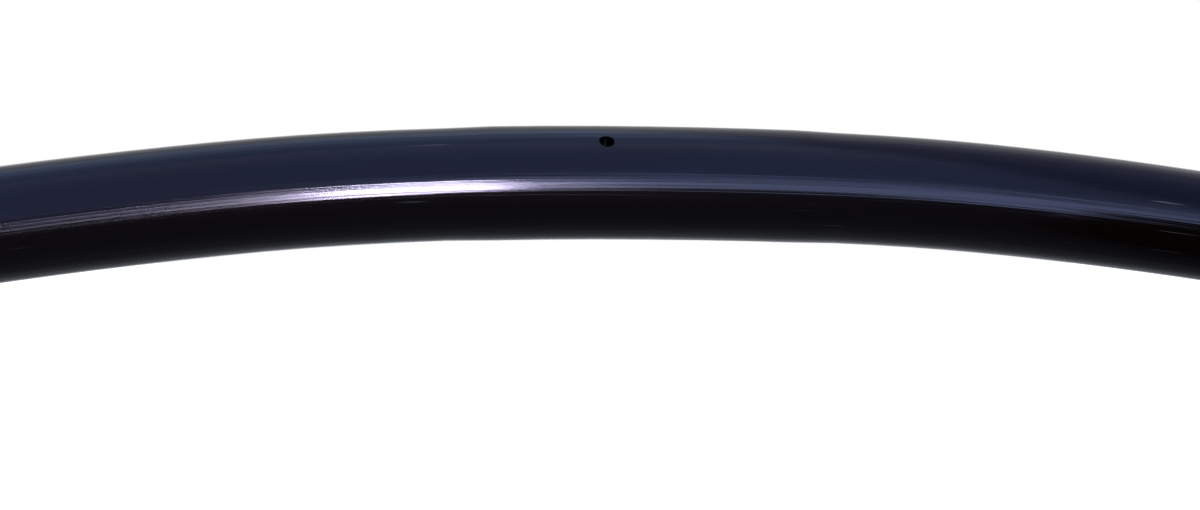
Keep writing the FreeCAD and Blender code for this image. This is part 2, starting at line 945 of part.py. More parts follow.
def tie(label, x, y, across, turned=False):
    """A strap round a bundle of strands, with its head on top and its cut tail standing out."""
    body = doc.addObject("PartDesign::Body", label)
    body.Label = label
    subparts.append(body)
    body.Placement = Placement(Vector(x, y, 0), Rotation(Vector(0, 0, 1), 90 if turned else 0))
    half = f"({across}) / 2 + tie_slack"
    top = "tie_thickness + 2 * hose_radius + (layers - 1) * layer_pitch + tie_slack"
    outside = strap_corners(f"{half} + tie_thickness", "0", f"{top} + tie_thickness", "tie_corner + 0.6")
    inside = strap_corners(half, "tie_thickness", top, "tie_corner")
    pad(body, "strap", "YZ_Plane", outside, "tie_width", midplane=True, hole=inside)
    head = [
        ("-tie_head_length / 2", f"{top} + 0.1"),
        ("tie_head_length / 2", f"{top} + 0.1"),
        ("tie_head_length / 2", f"{top} + tie_head_height - 1"),
        ("tie_head_length / 2 - 1", f"{top} + tie_head_height"),
        ("1 - tie_head_length / 2", f"{top} + tie_head_height"),
        ("-tie_head_length / 2", f"{top} + tie_head_height - 1"),
    ]
    pad(body, "head", "YZ_Plane", head, "tie_head_width", midplane=True)
    tail = [
        ("tie_head_length / 2 - 1", f"{top} + tie_thickness + 0.6"),
        ("tie_head_length / 2 + tie_tail", f"{top} + tie_thickness + 2.6"),
        ("tie_head_length / 2 + tie_tail", f"{top} + 2 * tie_thickness + 2.6"),
        ("tie_head_length / 2 - 1", f"{top} + 2 * tie_thickness + 0.6"),
    ]
    pad(body, "tail", "YZ_Plane", tail, "tie_width", midplane=True)


def ties(run):
    """Two ties on the hank's long sides and one on the fold away from the tap."""
    pitch = size("strand_pitch")
    radius = size("hank_fold_radius")
    far = size("hose_line")
    middle = size("outlet_place + hank_left") + run / 2
    fold = size("outlet_place + hank_left") + run + radius - pitch / 2
    across = "strand_pitch + 2 * hose_radius"
    tie("tie_far", middle, far - pitch / 2, across)
    tie("tie_near", middle, far - 2 * radius + pitch / 2, across)
    tie("tie_fold", fold, far - radius, across, turned=True)


def build():
    inlet_tail()
    flow_restrictor()
    filter_screen()
    inlet_washer()
    swivel_nut()
    grip_ring("inlet_grip_ring", FEED)
    lock_nut("inlet_lock_nut", FEED)
    run = build_hose()
    END["x"] = f"outlet_place + hank_left + {run:.4f} + end_reach"
    end_body()
    grip_ring("end_grip_ring", END)
    lock_nut("end_lock_nut", END)
    cap_seal()
    flush_cap()
    emitter_body()
    emitter_diaphragm()
    emitter_cover()
    ties(run)


def write():
    doc.recompute()
    for thing in doc.Objects:
        failed = {"Invalid", "Error"} & set(thing.State)
        assert not failed, f"{thing.Label}: {thing.State}"
    for part in subparts:
        shape = part.Shape
        assert not shape.isNull() and shape.isValid(), part.Label
        assert shape.Volume > 0 and len(shape.Solids) == 1, part.Label
    os.makedirs("parts", exist_ok=True)
    for part in subparts:
        part.Shape.exportStep(f"parts/{part.Label}.step")
    whole = FreeCAD.BoundBox()
    for part in subparts:
        whole.add(part.Shape.BoundBox)
    print(f"{len(subparts)} sub-parts in {whole}")


build()
write()
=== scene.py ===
"""A dripper soaker hose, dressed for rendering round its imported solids, in metres."""

import math

import bmesh
import bpy
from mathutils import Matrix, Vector


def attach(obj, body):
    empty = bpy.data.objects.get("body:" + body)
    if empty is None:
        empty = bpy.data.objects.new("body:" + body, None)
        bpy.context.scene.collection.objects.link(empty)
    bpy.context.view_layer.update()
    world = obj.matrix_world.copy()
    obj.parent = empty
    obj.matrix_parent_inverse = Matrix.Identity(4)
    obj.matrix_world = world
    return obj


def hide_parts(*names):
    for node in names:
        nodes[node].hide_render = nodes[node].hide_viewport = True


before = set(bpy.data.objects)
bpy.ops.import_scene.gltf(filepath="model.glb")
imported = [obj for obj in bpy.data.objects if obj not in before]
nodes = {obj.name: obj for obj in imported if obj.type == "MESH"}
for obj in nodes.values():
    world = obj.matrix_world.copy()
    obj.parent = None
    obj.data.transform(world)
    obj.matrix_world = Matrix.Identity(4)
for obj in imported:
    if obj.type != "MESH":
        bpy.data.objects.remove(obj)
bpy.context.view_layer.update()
bpy.ops.object.select_all(action="DESELECT")

MM = 0.001

# The same places as in the part's source, in millimetres.
OUTLET_PLACE = -44.5
HOSE_LINE = 63.4
HOSE_RADIUS = 8.0
STRAND_PITCH = 16.6
LAYER_PITCH = 16.5
LAYERS = 4
FOLDS_PER_LAYER = 3
FOLD_RADIUS = 65.1
HANK_LEFT = 157.0
HANK_RUN = 354.25
TIE_THICKNESS = 1.2
TAP_AXIS = (HOSE_LINE - 34.0, 17.6)
END_AXIS = (HOSE_LINE, 13.2)
TAP_FACE = OUTLET_PLACE - 500.0
END_REACH = 86.0
END_FACE = OUTLET_PLACE + HANK_LEFT + HANK_RUN + END_REACH

# Along the hose from the tap connector, from the outlet and over the surface.
HOSE_ROUTE = [
    (-500, -34, 17.6),
    (-450, -34, 17.6),
    (-385, -33, 20),
    (-310, -30, 29),
    (-235, -25.5, 41.5),
    (-170, -17, 54.2),
    (-122, -7.5, 64.7),
    (-76, -1.5, 72.15),
    (-28, 0, 76.95),
    (34, 0, 76.7),
    (74, 0, 73.25),
    (118, 0, 66.6),
    (156, 0, 61.2),
    (190, 0, 58.7),
    (212, 0, 58.7),
]


# Camera, level with the hose and a little to the left of its outlet

CAMERA_DISTANCE = 0.45
CAMERA_TURN = math.radians(9.6)
PHOTO_WIDTH = 1200
SENSOR = 36.0
NEAREST_SEEN = 0.01
PIXELS_PER_MM = 7.0
OUTLET_HEIGHT = 76.8
PHOTO_DROP = 10.3


def add_camera():
    data = bpy.data.cameras.new("camera")
    camera = bpy.data.objects.new("camera", data)
    bpy.context.scene.collection.objects.link(camera)
    bpy.context.scene.camera = camera
    data.sensor_width = SENSOR
    data.lens = PIXELS_PER_MM * CAMERA_DISTANCE / MM * SENSOR / PHOTO_WIDTH
    data.clip_start = NEAREST_SEEN
    target = Vector((OUTLET_PLACE, HOSE_LINE, OUTLET_HEIGHT - PHOTO_DROP)) * MM
    away = Vector((-math.sin(CAMERA_TURN), -math.cos(CAMERA_TURN), 0))
    camera.location = target + away * CAMERA_DISTANCE
    camera.rotation_euler = (math.pi / 2, 0, -CAMERA_TURN)


# Hose, one line from the tap connector to the flush cap

FOLD_CORNERS = 6
# The shares of a straight run between which the hose goes down to the next layer.
DROP_FROM = 0.25
DROP_TO = 0.75
SPLINE_STEPS = 8
HOSE_SIDES = 64
OUTLET_RADIUS = 1.1
OUTLET_SLOPE = math.radians(45)
DRILL_LENGTH = 4.0
DRILL_DEPTH = 1.25


def fold_radii(layer):
    inwards = [FOLD_RADIUS - fold * STRAND_PITCH / 2 for fold in range(FOLDS_PER_LAYER)]
    return inwards if layer % 2 == 0 else inwards[::-1]


def fold_points(centre_x, start_y, radius, height, at_right):
    """Corners round half a turn, with one on the straight at each end."""
    step = math.pi / FOLD_CORNERS
    reach = radius * math.tan(step / 2)
    outer = radius / math.cos(step / 2)
    side = 1 if at_right else -1
    centre_y = start_y - side * radius
    points = [(centre_x - side * reach, start_y, height)]
    for number in range(FOLD_CORNERS):
        angle = (number + 0.5) * step
        x = centre_x + side * outer * math.sin(angle)
        points.append((x, centre_y + side * outer * math.cos(angle), height))
    points.append((centre_x - side * reach, start_y - side * 2 * radius, height))
    return points


def hank_points():
    """Down through the layers, drawing in on one and out on the next, and off along the bottom."""
    left, right = HANK_LEFT, HANK_LEFT + HANK_RUN
    bottom = TIE_THICKNESS + HOSE_RADIUS
    points = []
    y = 0.0
    at_right = True
    for layer in range(LAYERS):
        height = bottom + (LAYERS - 1 - layer) * LAYER_PITCH
        for radius in fold_radii(layer):
            points += fold_points(right if at_right else left, y, radius, height, at_right)
            y += -2 * radius if at_right else 2 * radius
            at_right = not at_right
        if layer < LAYERS - 1:
            start = left if at_right else right
            way = HANK_RUN if at_right else -HANK_RUN
            points.append((start + way * DROP_FROM, y, height))
            points.append((start + way * DROP_TO, y, height - LAYER_PITCH))
    high = END_AXIS[1]
    points += [
        (right + 12, 0, bottom),
        (right + 30, 0, bottom),
        (right + 52, 0, high),
        (right + END_REACH, 0, high),
    ]
    return points


def hose_line():
    """The hose's middle line as a smooth spline through its route."""
    curve = bpy.data.curves.new("hose_line", "CURVE")
    curve.dimensions = "3D"
    spline = curve.splines.new("NURBS")
    points = HOSE_ROUTE + hank_points()
    spline.points.add(len(points) - 1)
    for point, (x, y, z) in zip(spline.points, points):
        point.co = ((x + OUTLET_PLACE) * MM, (y + HOSE_LINE) * MM, z * MM, 1)
    spline.order_u = 3
    spline.use_endpoint_u = True
    spline.resolution_u = SPLINE_STEPS
    line = bpy.data.objects.new("hose_line", curve)
    bpy.context.scene.collection.objects.link(line)
    mesh = bpy.data.meshes.new_from_object(line)
    path = [vertex.co.copy() for vertex in mesh.vertices]
    bpy.data.objects.remove(line)
    return path


def swell(x):
    """How far the welded emitter pushes the pipe's wall out, in metres, at a distance from the outlet."""
    bulge = 0.14 * MM
    emitter_start, emitter_end = -22.5, 35.0
    start_slope, end_slope = 4.0, 5.0
    before = min(max((x - emitter_start) / start_slope, 0), 1)
    after = min(max((emitter_end - x) / end_slope, 0), 1)
    rise = before * after
    return bulge * rise * rise * (3 - 2 * rise)


def tube(name, path, radius, sides):
    """A round tube along the path, closed at its ends, unrolled to a map in metres."""
    bm = bmesh.new()
    layer = bm.loops.layers.uv.new("along")
    rings = []
    lengths = [0.0]
    for before, after in zip(path, path[1:]):
        lengths.append(lengths[-1] + (after - before).length)
    for number, centre in enumerate(path):
        heading = path[min(number + 1, len(path) - 1)] - path[max(number - 1, 0)]
        across = Vector((0, 0, 1)).cross(heading).normalized()
        up = heading.cross(across).normalized()
        wide = radius + swell(centre.x / MM - OUTLET_PLACE)
        ring = []
        for side in range(sides):
            angle = 2 * math.pi * side / sides
            offset = across * math.sin(angle) - up * math.cos(angle)
            ring.append(bm.verts.new(centre + offset * wide))
        rings.append(ring)
    for number, (one, two) in enumerate(zip(rings, rings[1:])):
        for side in range(sides):
            after = (side + 1) % sides
            face = bm.faces.new((one[side], one[after], two[after], two[side]))
            face.smooth = True
            ends = (side, side + 1, side + 1, side)
            along = (number, number, number + 1, number + 1)
            for loop, around, ring_number in zip(face.loops, ends, along):
                v = 2 * math.pi * radius * around / sides
                loop[layer].uv = (lengths[ring_number], v)
    bm.faces.new(rings[0][::-1])
    bm.faces.new(rings[-1])
    bmesh.ops.recalc_face_normals(bm, faces=bm.faces[:])
    mesh = bpy.data.meshes.new(name)
    bm.to_mesh(mesh)
    bm.free()
    piece = bpy.data.objects.new(name, mesh)
    bpy.context.scene.collection.objects.link(piece)
    return piece


def cut_outlet(hose):
    """The pierced outlet, over the emitter's pool and 45 degrees up the hose's side."""
    way = Vector((0, -math.cos(OUTLET_SLOPE), math.sin(OUTLET_SLOPE)))
    distance = HOSE_RADIUS - DRILL_DEPTH + DRILL_LENGTH / 2
    centre = Vector((OUTLET_PLACE, HOSE_LINE, OUTLET_HEIGHT)) + way * distance
    bpy.ops.mesh.primitive_cylinder_add(
        vertices=40,
        radius=OUTLET_RADIUS * MM,
        depth=DRILL_LENGTH * MM,
        location=centre * MM,
    )
    drill = bpy.context.object
    drill.rotation_euler = way.to_track_quat("Z", "Y").to_euler()
    bore = hose.modifiers.new("outlet", "BOOLEAN")
    bore.operation = "DIFFERENCE"
    bore.solver = "EXACT"
    bore.object = drill
    only(hose)
    bpy.ops.object.modifier_apply(modifier="outlet")
    bpy.data.objects.remove(drill)
    bpy.ops.object.shade_smooth_by_angle(angle=math.radians(35))


def make_hose(material):
    path = hose_line()
    hose = tube("drip_hose", path, HOSE_RADIUS * MM, HOSE_SIDES)
    cut_outlet(hose)
    hose.data.materials.append(material)
    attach(hose, "hose_body")
    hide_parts("hose", "hose_coil", "hose_end")
    return hose, path


# Tools that the pieces share

SHARP_EDGE = math.radians(38)
SMOOTH_EDGE = math.radians(32)
ROUND_SIDES = 96
NUT_SIDES = 120
NUT_RIBS = 12
RIB_SHARE = 0.3
THREAD_STEPS = 72


def only(piece):
    """Select this piece and nothing else."""
    bpy.ops.object.select_all(action="DESELECT")
    bpy.context.view_layer.objects.active = piece
    piece.select_set(True)


def apply_all(piece):
    only(piece)
    for modifier in list(piece.modifiers):
        bpy.ops.object.modifier_apply(modifier=modifier.name)


def soften(piece, width, segments=2):
    """Round the sharp edges a little, as a mould does."""
    bevel = piece.modifiers.new("edges", "BEVEL")
    bevel.width = width * MM
    bevel.segments = segments
    bevel.limit_method = "ANGLE"
    bevel.angle_limit = SHARP_EDGE
    apply_all(piece)
    bpy.ops.object.shade_smooth_by_angle(angle=SMOOTH_EDGE)


def fit(piece, body, node, material):
    """Give a finished piece its body, the node it stands for and its finish."""
    piece.data.materials.clear()
    piece.data.materials.append(material)
    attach(piece, body)
    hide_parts(node)
    return piece


def join(piece, *others):
    only(piece)
    for other in others:
        other.select_set(True)
    bpy.ops.object.join()
    return piece


# Each fitting's cut end of the hose, and the way that the hose runs from it.
FITTINGS = {
    "tap": (TAP_FACE, *TAP_AXIS, 1),
    "end": (END_FACE, *END_AXIS, -1),
}


def turned(name, fitting, profile, sides=ROUND_SIDES, open_ends=False):
    """A turned piece: a ring drawn out along the axis and resized at each (distance, radius) corner."""
    x, y, z, way = FITTINGS[fitting]
    along, radius = profile[0]
    centre = Vector((x + way * along, y, z)) * MM
    bpy.ops.mesh.primitive_circle_add(
        vertices=sides, radius=radius * MM, location=centre, rotation=(0, math.pi / 2, 0)
    )
    piece = bpy.context.object
    piece.name = name
    bpy.ops.object.transform_apply(location=True, rotation=True, scale=True)
    bpy.ops.object.mode_set(mode="EDIT")
    bpy.ops.mesh.select_all(action="SELECT")
    corners = profile[1:] if open_ends else profile[1:] + profile[:1]
    for next_along, next_radius in corners:
        step = Vector((way * (next_along - along), 0, 0)) * MM
        bpy.ops.mesh.extrude_region_move(TRANSFORM_OT_translate={"value": step})
        centre = Vector((x + way * next_along, y, z)) * MM
        if next_radius != radius:
            change = next_radius / radius
            bpy.ops.transform.resize(value=(1, change, change), center_override=centre)
        along, radius = next_along, next_radius
    bpy.ops.mesh.select_all(action="SELECT")
    if open_ends:
        bpy.ops.mesh.fill_holes(sides=0)
    else:
        bpy.ops.mesh.remove_doubles(threshold=0.001 * MM)
    bpy.ops.mesh.normals_make_consistent(inside=False)
    bpy.ops.object.mode_set(mode="OBJECT")
    return piece


def raise_ribs(piece, fitting, low, high, radius, height):
    """Draw grip ribs out of a turned wall, from a share of its faces in each repeat."""
    x, y, z, way = FITTINGS[fitting]
    only(piece)
    bpy.ops.object.mode_set(mode="EDIT")
    bpy.ops.mesh.select_mode(type="FACE")
    bpy.ops.mesh.select_all(action="DESELECT")
    bm = bmesh.from_edit_mesh(piece.data)
    for face in bm.faces:
        centre = face.calc_center_median() / MM
        along = way * (centre.x - x)
        out = math.hypot(centre.y - y, centre.z - z)
        turn = math.atan2(centre.y - y, centre.z - z) / (2 * math.pi) * NUT_RIBS % 1
        on_wall = low < along < high and abs(out - radius) < 0.1
        if on_wall and abs(turn - 0.5) < RIB_SHARE / 2:
            face.select = True
    bmesh.update_edit_mesh(piece.data)
    bpy.ops.mesh.extrude_region_shrink_fatten(TRANSFORM_OT_shrink_fatten={"value": height * MM})
    bpy.ops.mesh.select_mode(type="VERT")
    bpy.ops.object.mode_set(mode="OBJECT")


def thread(fitting, start, turns, pitch, radius, height):
    """A thread's ridge: a small diamond wound round the axis, half of it sunk in its wall."""
    x, y, z, way = FITTINGS[fitting]
    bpy.ops.mesh.primitive_circle_add(vertices=4, radius=height * MM, rotation=(math.pi / 2, 0, 0))
    ridge = bpy.context.object
    bpy.ops.object.transform_apply(rotation=True)
    bpy.ops.object.mode_set(mode="EDIT")
    bpy.ops.mesh.select_all(action="SELECT")
    bpy.ops.transform.resize(value=(0.4 * pitch / height, 1, 1), center_override=(0, 0, 0))
    bpy.ops.transform.translate(value=(0, 0, radius * MM))
    bpy.ops.object.mode_set(mode="OBJECT")
    winding = ridge.modifiers.new("winding", "SCREW")
    winding.axis = "X"
    winding.screw_offset = pitch * MM
    winding.iterations = turns
    winding.steps = THREAD_STEPS
    winding.render_steps = THREAD_STEPS
    apply_all(ridge)
    bpy.ops.object.mode_set(mode="EDIT")
    bpy.ops.mesh.select_all(action="SELECT")
    bpy.ops.mesh.fill_holes(sides=0)
    bpy.ops.mesh.normals_make_consistent(inside=False)
    bpy.ops.object.mode_set(mode="OBJECT")
    ridge.location = Vector((x + way * start, y, z)) * MM
    if way < 0:
        ridge.rotation_euler = (0, 0, math.pi)
    only(ridge)
    bpy.ops.object.transform_apply(location=True, rotation=True)
    return ridge


# Tap connector and end fitting


def make_swivel_nut(material):
    profile = [
        (-8, 9.1),
        (-8, 14.0),
        (-9.6, 15.6),
        (-11, 15.6),
        (-27.4, 15.6),
        (-28.2, 15.6),
        (-29, 14.8),
        (-29, 13.4),
        (-28.5, 13.0),
        (-18, 13.0),
        (-18, 12.7),
        (-11.6, 12.7),
        (-11.6, 9.1),
    ]
    nut = turned("tap_nut", "tap", profile, sides=NUT_SIDES)
    raise_ribs(nut, "tap", -27.4, -11, 15.6, 1.7)
    soften(nut, 0.3)
    ridge = thread("tap", -27.6, 5, 1.814, 13.05, 0.95)
    return fit(join(nut, ridge), "tap_nut", "swivel_nut", material)


def make_washer(material):
    profile = [(-17.9, 6.9), (-17.9, 11.9), (-15.1, 11.9), (-15.1, 6.9)]
    washer = turned("tap_washer", "tap", profile)
    soften(washer, 0.6, 4)
    return fit(washer, "hose_body", "inlet_washer", material)


def make_screen(material):
    """Woven wire domed over the inlet, held in a thin rim."""
    x, y, z, way = FITTINGS["tap"]
    rim = turned("inlet_screen", "tap", [(-15.1, 5.9), (-15.1, 10.4), (-14.5, 10.4), (-14.5, 5.9)])
    soften(rim, 0.12)
    centre = Vector((x - 14.8, y, z))
    wire_count, reach, inner, wire = 32, 6.1, 6.05, 0.16
    bpy.ops.mesh.primitive_grid_add(
        x_subdivisions=wire_count,
        y_subdivisions=wire_count,
        size=2 * reach * MM,
        location=(centre - Vector((12, 0, 0))) * MM,
        rotation=(0, math.pi / 2, 0),
    )
    wires = bpy.context.object
    bpy.ops.object.transform_apply(location=True, rotation=True)
    dome_radius, dome_height = 8.7, 2.4
    middle = (centre + Vector((dome_radius - dome_height, 0, 0))) * MM
    bpy.ops.mesh.primitive_uv_sphere_add(
        segments=64, ring_count=32, radius=dome_radius * MM, location=middle
    )
    dome = bpy.context.object
    bpy.ops.object.transform_apply(location=True)
    drape = wires.modifiers.new("drape", "SHRINKWRAP")
    drape.wrap_method = "PROJECT"
    drape.use_project_x = True
    drape.use_negative_direction = True
    drape.use_positive_direction = True
    drape.target = dome
    apply_all(wires)
    bpy.data.objects.remove(dome)
    only(wires)
    bpy.ops.object.mode_set(mode="EDIT")
    bpy.ops.mesh.select_mode(type="FACE")
    bpy.ops.mesh.select_all(action="DESELECT")
    bm = bmesh.from_edit_mesh(wires.data)
    for face in bm.faces:
        place = face.calc_center_median() / MM
        if math.hypot(place.y - y, place.z - z) > inner:
            face.select = True
    bmesh.update_edit_mesh(wires.data)
    bpy.ops.mesh.delete(type="FACE")
    bpy.ops.mesh.select_mode(type="VERT")
    bpy.ops.object.mode_set(mode="OBJECT")
    weave = wires.modifiers.new("weave", "WIREFRAME")
    weave.thickness = wire * MM
    apply_all(wires)
    return fit(join(rim, wires), "hose_body", "filter_screen", material)


def barbed_spigot():
    """The spigot's outer corners, from its tip back to its root."""
    return [
        (20, 4.6),
        (20, 5.7),
        (15, 6.95),
        (15, 6.3),
        (9, 6.95),
        (9, 6.3),
        (3, 6.95),
        (3, 6.3),
        (0, 6.3),
    ]


def socket_wall():
    return [(0, 8.5), (9, 8.5), (9, 9.9), (8.6, 10.3), (-3, 10.3)]


def hexagon(fitting):
    """The collar that a spanner holds."""
    collar = turned("collar", fitting, [(-7, 8.0), (-7, 12.6), (-3, 12.6), (-3, 8.0)], sides=6)
    soften(collar, 0.45, 3)
    return collar


def make_inlet_tail(material):
    profile = barbed_spigot() + socket_wall()
    profile += [
        (-7, 10.3),
        (-7, 8.8),
        (-11.9, 8.8),
        (-11.9, 11.6),
        (-14.5, 11.6),
        (-14.5, 6.25),
        (-12.4, 6.25),
        (-12.4, 4.6),
    ]
    tail = turned("tap_tail", "tap", profile)
    soften(tail, 0.2)
    ridge = thread("tap", -2.0, 4, 2.0, 10.2, 0.3)
    return fit(join(tail, hexagon("tap"), ridge), "hose_body", "inlet_tail", material)


def make_lock_nut(name, fitting, body, node, material):
    profile = [
        (1.5, 10.6),
        (9.8, 10.6),
        (16.2, 9.7),
        (16.2, 8.7),
        (20.0, 8.7),
        (20.5, 9.1),
        (20.5, 10.6),
        (18.5, 12.2),
        (17.5, 12.2),
        (2.1, 12.2),
        (1.5, 11.7),
    ]
    nut = turned(name, fitting, profile, sides=NUT_SIDES)
    raise_ribs(nut, fitting, 2.1, 17.5, 12.2, 0.8)
    soften(nut, 0.25)
    return fit(nut, body, node, material)


def make_end_body(material):
    profile = barbed_spigot() + socket_wall()
    profile += [(-7, 10.3), (-7, 9.0), (-15.9, 9.0), (-16.5, 8.4), (-16.5, 5.5), (-7, 4.6)]
    spout = turned("end_plug", "end", profile)
    soften(spout, 0.2)
    ridge = thread("end", -2.0, 4, 2.0, 10.2, 0.3)
    cap_ridge = thread("end", -15.0, 2, 2.5, 8.95, 0.27)
    return fit(join(spout, hexagon("end"), ridge, cap_ridge), "hose_body", "end_body", material)


def make_flush_cap(material):
    profile = [
        (-18.7, 9.3),
        (-8, 9.3),
        (-8, 11.4),
        (-8.4, 11.8),
        (-18.9, 11.8),
        (-19.7, 11.8),
        (-21.3, 10.2),
        (-21.3, 7.6),
        (-20.8, 7.1),
    ]
    cap = turned("end_cap", "end", profile, sides=NUT_SIDES, open_ends=True)
    raise_ribs(cap, "end", -18.9, -8.4, 11.8, 1.0)
    soften(cap, 0.3)
    return fit(cap, "cap", "flush_cap", material)


# Cable ties

TIE_HALF = 16.7
TIE_TOP = 67.1
TIE_WIDTH = 4.8
TIE_CORNER = 7.6
TAIL_STEPS = 12


def make_tie(name, node, x, y, turned_across, material):
    """A strap drawn round two strands of each layer, with its head on top and its cut tail standing out."""
    size = Vector((TIE_WIDTH, 2 * TIE_HALF, TIE_TOP - TIE_THICKNESS)) * MM
    middle = Vector((0, 0, (TIE_TOP + TIE_THICKNESS) / 2)) * MM
    bpy.ops.mesh.primitive_cube_add(size=1, location=middle)
    strap = bpy.context.object
    strap.scale = size
    bpy.ops.object.transform_apply(location=True, scale=True)
    bpy.ops.object.mode_set(mode="EDIT")
    bpy.ops.mesh.select_mode(type="FACE")
    bpy.ops.mesh.select_all(action="DESELECT")
    bm = bmesh.from_edit_mesh(strap.data)
    for face in bm.faces:
        face.select = abs(face.normal.x) > 0.9
    bmesh.update_edit_mesh(strap.data)
    bpy.ops.mesh.delete(type="FACE")
    bpy.ops.mesh.select_mode(type="EDGE")
    bpy.ops.mesh.select_all(action="DESELECT")
    bm = bmesh.from_edit_mesh(strap.data)
    for edge in bm.edges:
        along = (edge.verts[0].co - edge.verts[1].co).normalized()
        edge.select = abs(along.x) > 0.9
    bmesh.update_edit_mesh(strap.data)
    bpy.ops.mesh.bevel(offset=TIE_CORNER * MM, segments=8, affect="EDGES")
    bpy.ops.mesh.select_all(action="SELECT")
    bpy.ops.mesh.normals_make_consistent(inside=False)
    bpy.ops.mesh.select_mode(type="VERT")
    bpy.ops.object.mode_set(mode="OBJECT")
    wall = strap.modifiers.new("wall", "SOLIDIFY")
    wall.thickness = TIE_THICKNESS * MM
    wall.offset = 1
    wall.use_even_offset = True
    apply_all(strap)
    soften(strap, 0.22)
    tie = join(strap, tie_head(), tie_tail())
    tie.name = name
    if turned_across:
        tie.rotation_euler = (0, 0, math.pi / 2)
    tie.location = Vector((x, y, 0)) * MM
    only(tie)
    bpy.ops.object.transform_apply(location=True, rotation=True)
    return fit(tie, "hose_body", node, material)


def tie_head():
    """The ratchet box, tapered at the top and with its slot towards the tail."""
    low, high = TIE_TOP + 0.1, TIE_TOP + 4.4
    bpy.ops.mesh.primitive_cube_add(size=1, location=Vector((0, 0, (low + high) / 2)) * MM)
    head = bpy.context.object
    head.scale = Vector((7, 8, high - low)) * MM
    bpy.ops.object.transform_apply(location=True, scale=True)
    bpy.ops.object.mode_set(mode="EDIT")
    bpy.ops.mesh.select_mode(type="FACE")
    bpy.ops.mesh.select_all(action="DESELECT")
    bm = bmesh.from_edit_mesh(head.data)
    for face in bm.faces:
        face.select = face.normal.z > 0.9
    bmesh.update_edit_mesh(head.data)
    bpy.ops.transform.resize(value=(0.86, 0.8, 1), center_override=(0, 0, high * MM))
    bpy.ops.mesh.inset(thickness=1.1 * MM)
    bpy.ops.mesh.extrude_region_move(TRANSFORM_OT_translate={"value": (0, 0, -0.5 * MM)})
    bpy.ops.mesh.select_mode(type="VERT")
    bpy.ops.object.mode_set(mode="OBJECT")
    soften(head, 0.35, 3)
    return head


def tie_tail():
    """The strap's cut end, rising out of the head."""
    start = Vector((0, 3.0, TIE_TOP + 2.3))
    bpy.ops.mesh.primitive_plane_add(size=1, location=start * MM, rotation=(math.pi / 2, 0, 0))
    tail = bpy.context.object
    tail.scale = Vector((4.6, 1.1, 1)) * MM
    bpy.ops.object.transform_apply(location=True, rotation=True, scale=True)
    bpy.ops.object.mode_set(mode="EDIT")
    bpy.ops.mesh.select_all(action="SELECT")
    for step in range(TAIL_STEPS):
        pull = Vector((0, 0.83, 0.17 - 0.012 * step)) * MM
        bpy.ops.mesh.extrude_region_move(TRANSFORM_OT_translate={"value": pull})
    bpy.ops.transform.resize(value=(0.55, 1, 1), center_override=(0, 0, 0))
    bpy.ops.mesh.select_all(action="SELECT")
    bpy.ops.mesh.normals_make_consistent(inside=False)
    bpy.ops.object.mode_set(mode="OBJECT")
    soften(tail, 0.18)
    return tail


# Materials


def new_material(name):
    material = bpy.data.materials.new(name)
    material.use_nodes = True
    return material, material.node_tree, material.node_tree.nodes["Principled BSDF"]


def new_group(name, numbers, results):
    """A node group that takes a vector and some numbers and gives values that vary over the surface."""
    group = bpy.data.node_groups.new(name, "ShaderNodeTree")
    group.interface.new_socket("Vector", in_out="INPUT", socket_type="NodeSocketVector")
    for number, default in numbers.items():
        socket = group.interface.new_socket(number, in_out="INPUT", socket_type="NodeSocketFloat")
        socket.default_value = default
    for result in results:
        group.interface.new_socket(result, in_out="OUTPUT", socket_type="NodeSocketFloat")
    return group, group.nodes.new("NodeGroupInput"), group.nodes.new("NodeGroupOutput")


def math_node(tree, operation, first=None, second=None, clamp=False):
    node = tree.nodes.new("ShaderNodeMath")
    node.operation = operation
    node.use_clamp = clamp
    for socket, value in zip(node.inputs, (first, second)):
        if isinstance(value, (int, float)):
            socket.default_value = value
        elif value is not None:
            tree.links.new(value, socket)
    return node.outputs[0]


def map_range(tree, value, low, high, to_low=0.0, to_high=1.0):
    node = tree.nodes.new("ShaderNodeMapRange")
    node.interpolation_type = "SMOOTHSTEP"
    tree.links.new(value, node.inputs["Value"])
    node.inputs["From Min"].default_value = low
    node.inputs["From Max"].default_value = high
    node.inputs["To Min"].default_value = to_low
    node.inputs["To Max"].default_value = to_high
    return node.outputs["Result"]


def noise_node(tree, vector, scale, detail, roughness, dimensions="3D"):
    node = tree.nodes.new("ShaderNodeTexNoise")
    node.noise_dimensions = dimensions
    node.inputs["Detail"].default_value = detail
    node.inputs["Roughness"].default_value = roughness
    tree.links.new(vector, node.inputs["Vector"])
    if isinstance(scale, (int, float)):
        node.inputs["Scale"].default_value = scale
    else:
        tree.links.new(scale, node.inputs["Scale"])
    return node.outputs["Fac"]


def stretched(tree, vector, scale):
    node = tree.nodes.new("ShaderNodeMapping")
    node.inputs["Scale"].default_value = scale
    tree.links.new(vector, node.inputs["Vector"])
    return node.outputs["Vector"]


def mix_colour(tree, factor, first, second):
    """A colour between two, each of them a plain colour or another node's."""
    node = tree.nodes.new("ShaderNodeMix")
    node.data_type = "RGBA"
    tree.links.new(factor, node.inputs["Factor"])
    for socket, value in ((node.inputs[6], first), (node.inputs[7], second)):
        if isinstance(value, tuple):
            socket.default_value = (*value, 1)
        else:
            tree.links.new(value, socket)
    return node.outputs[2]


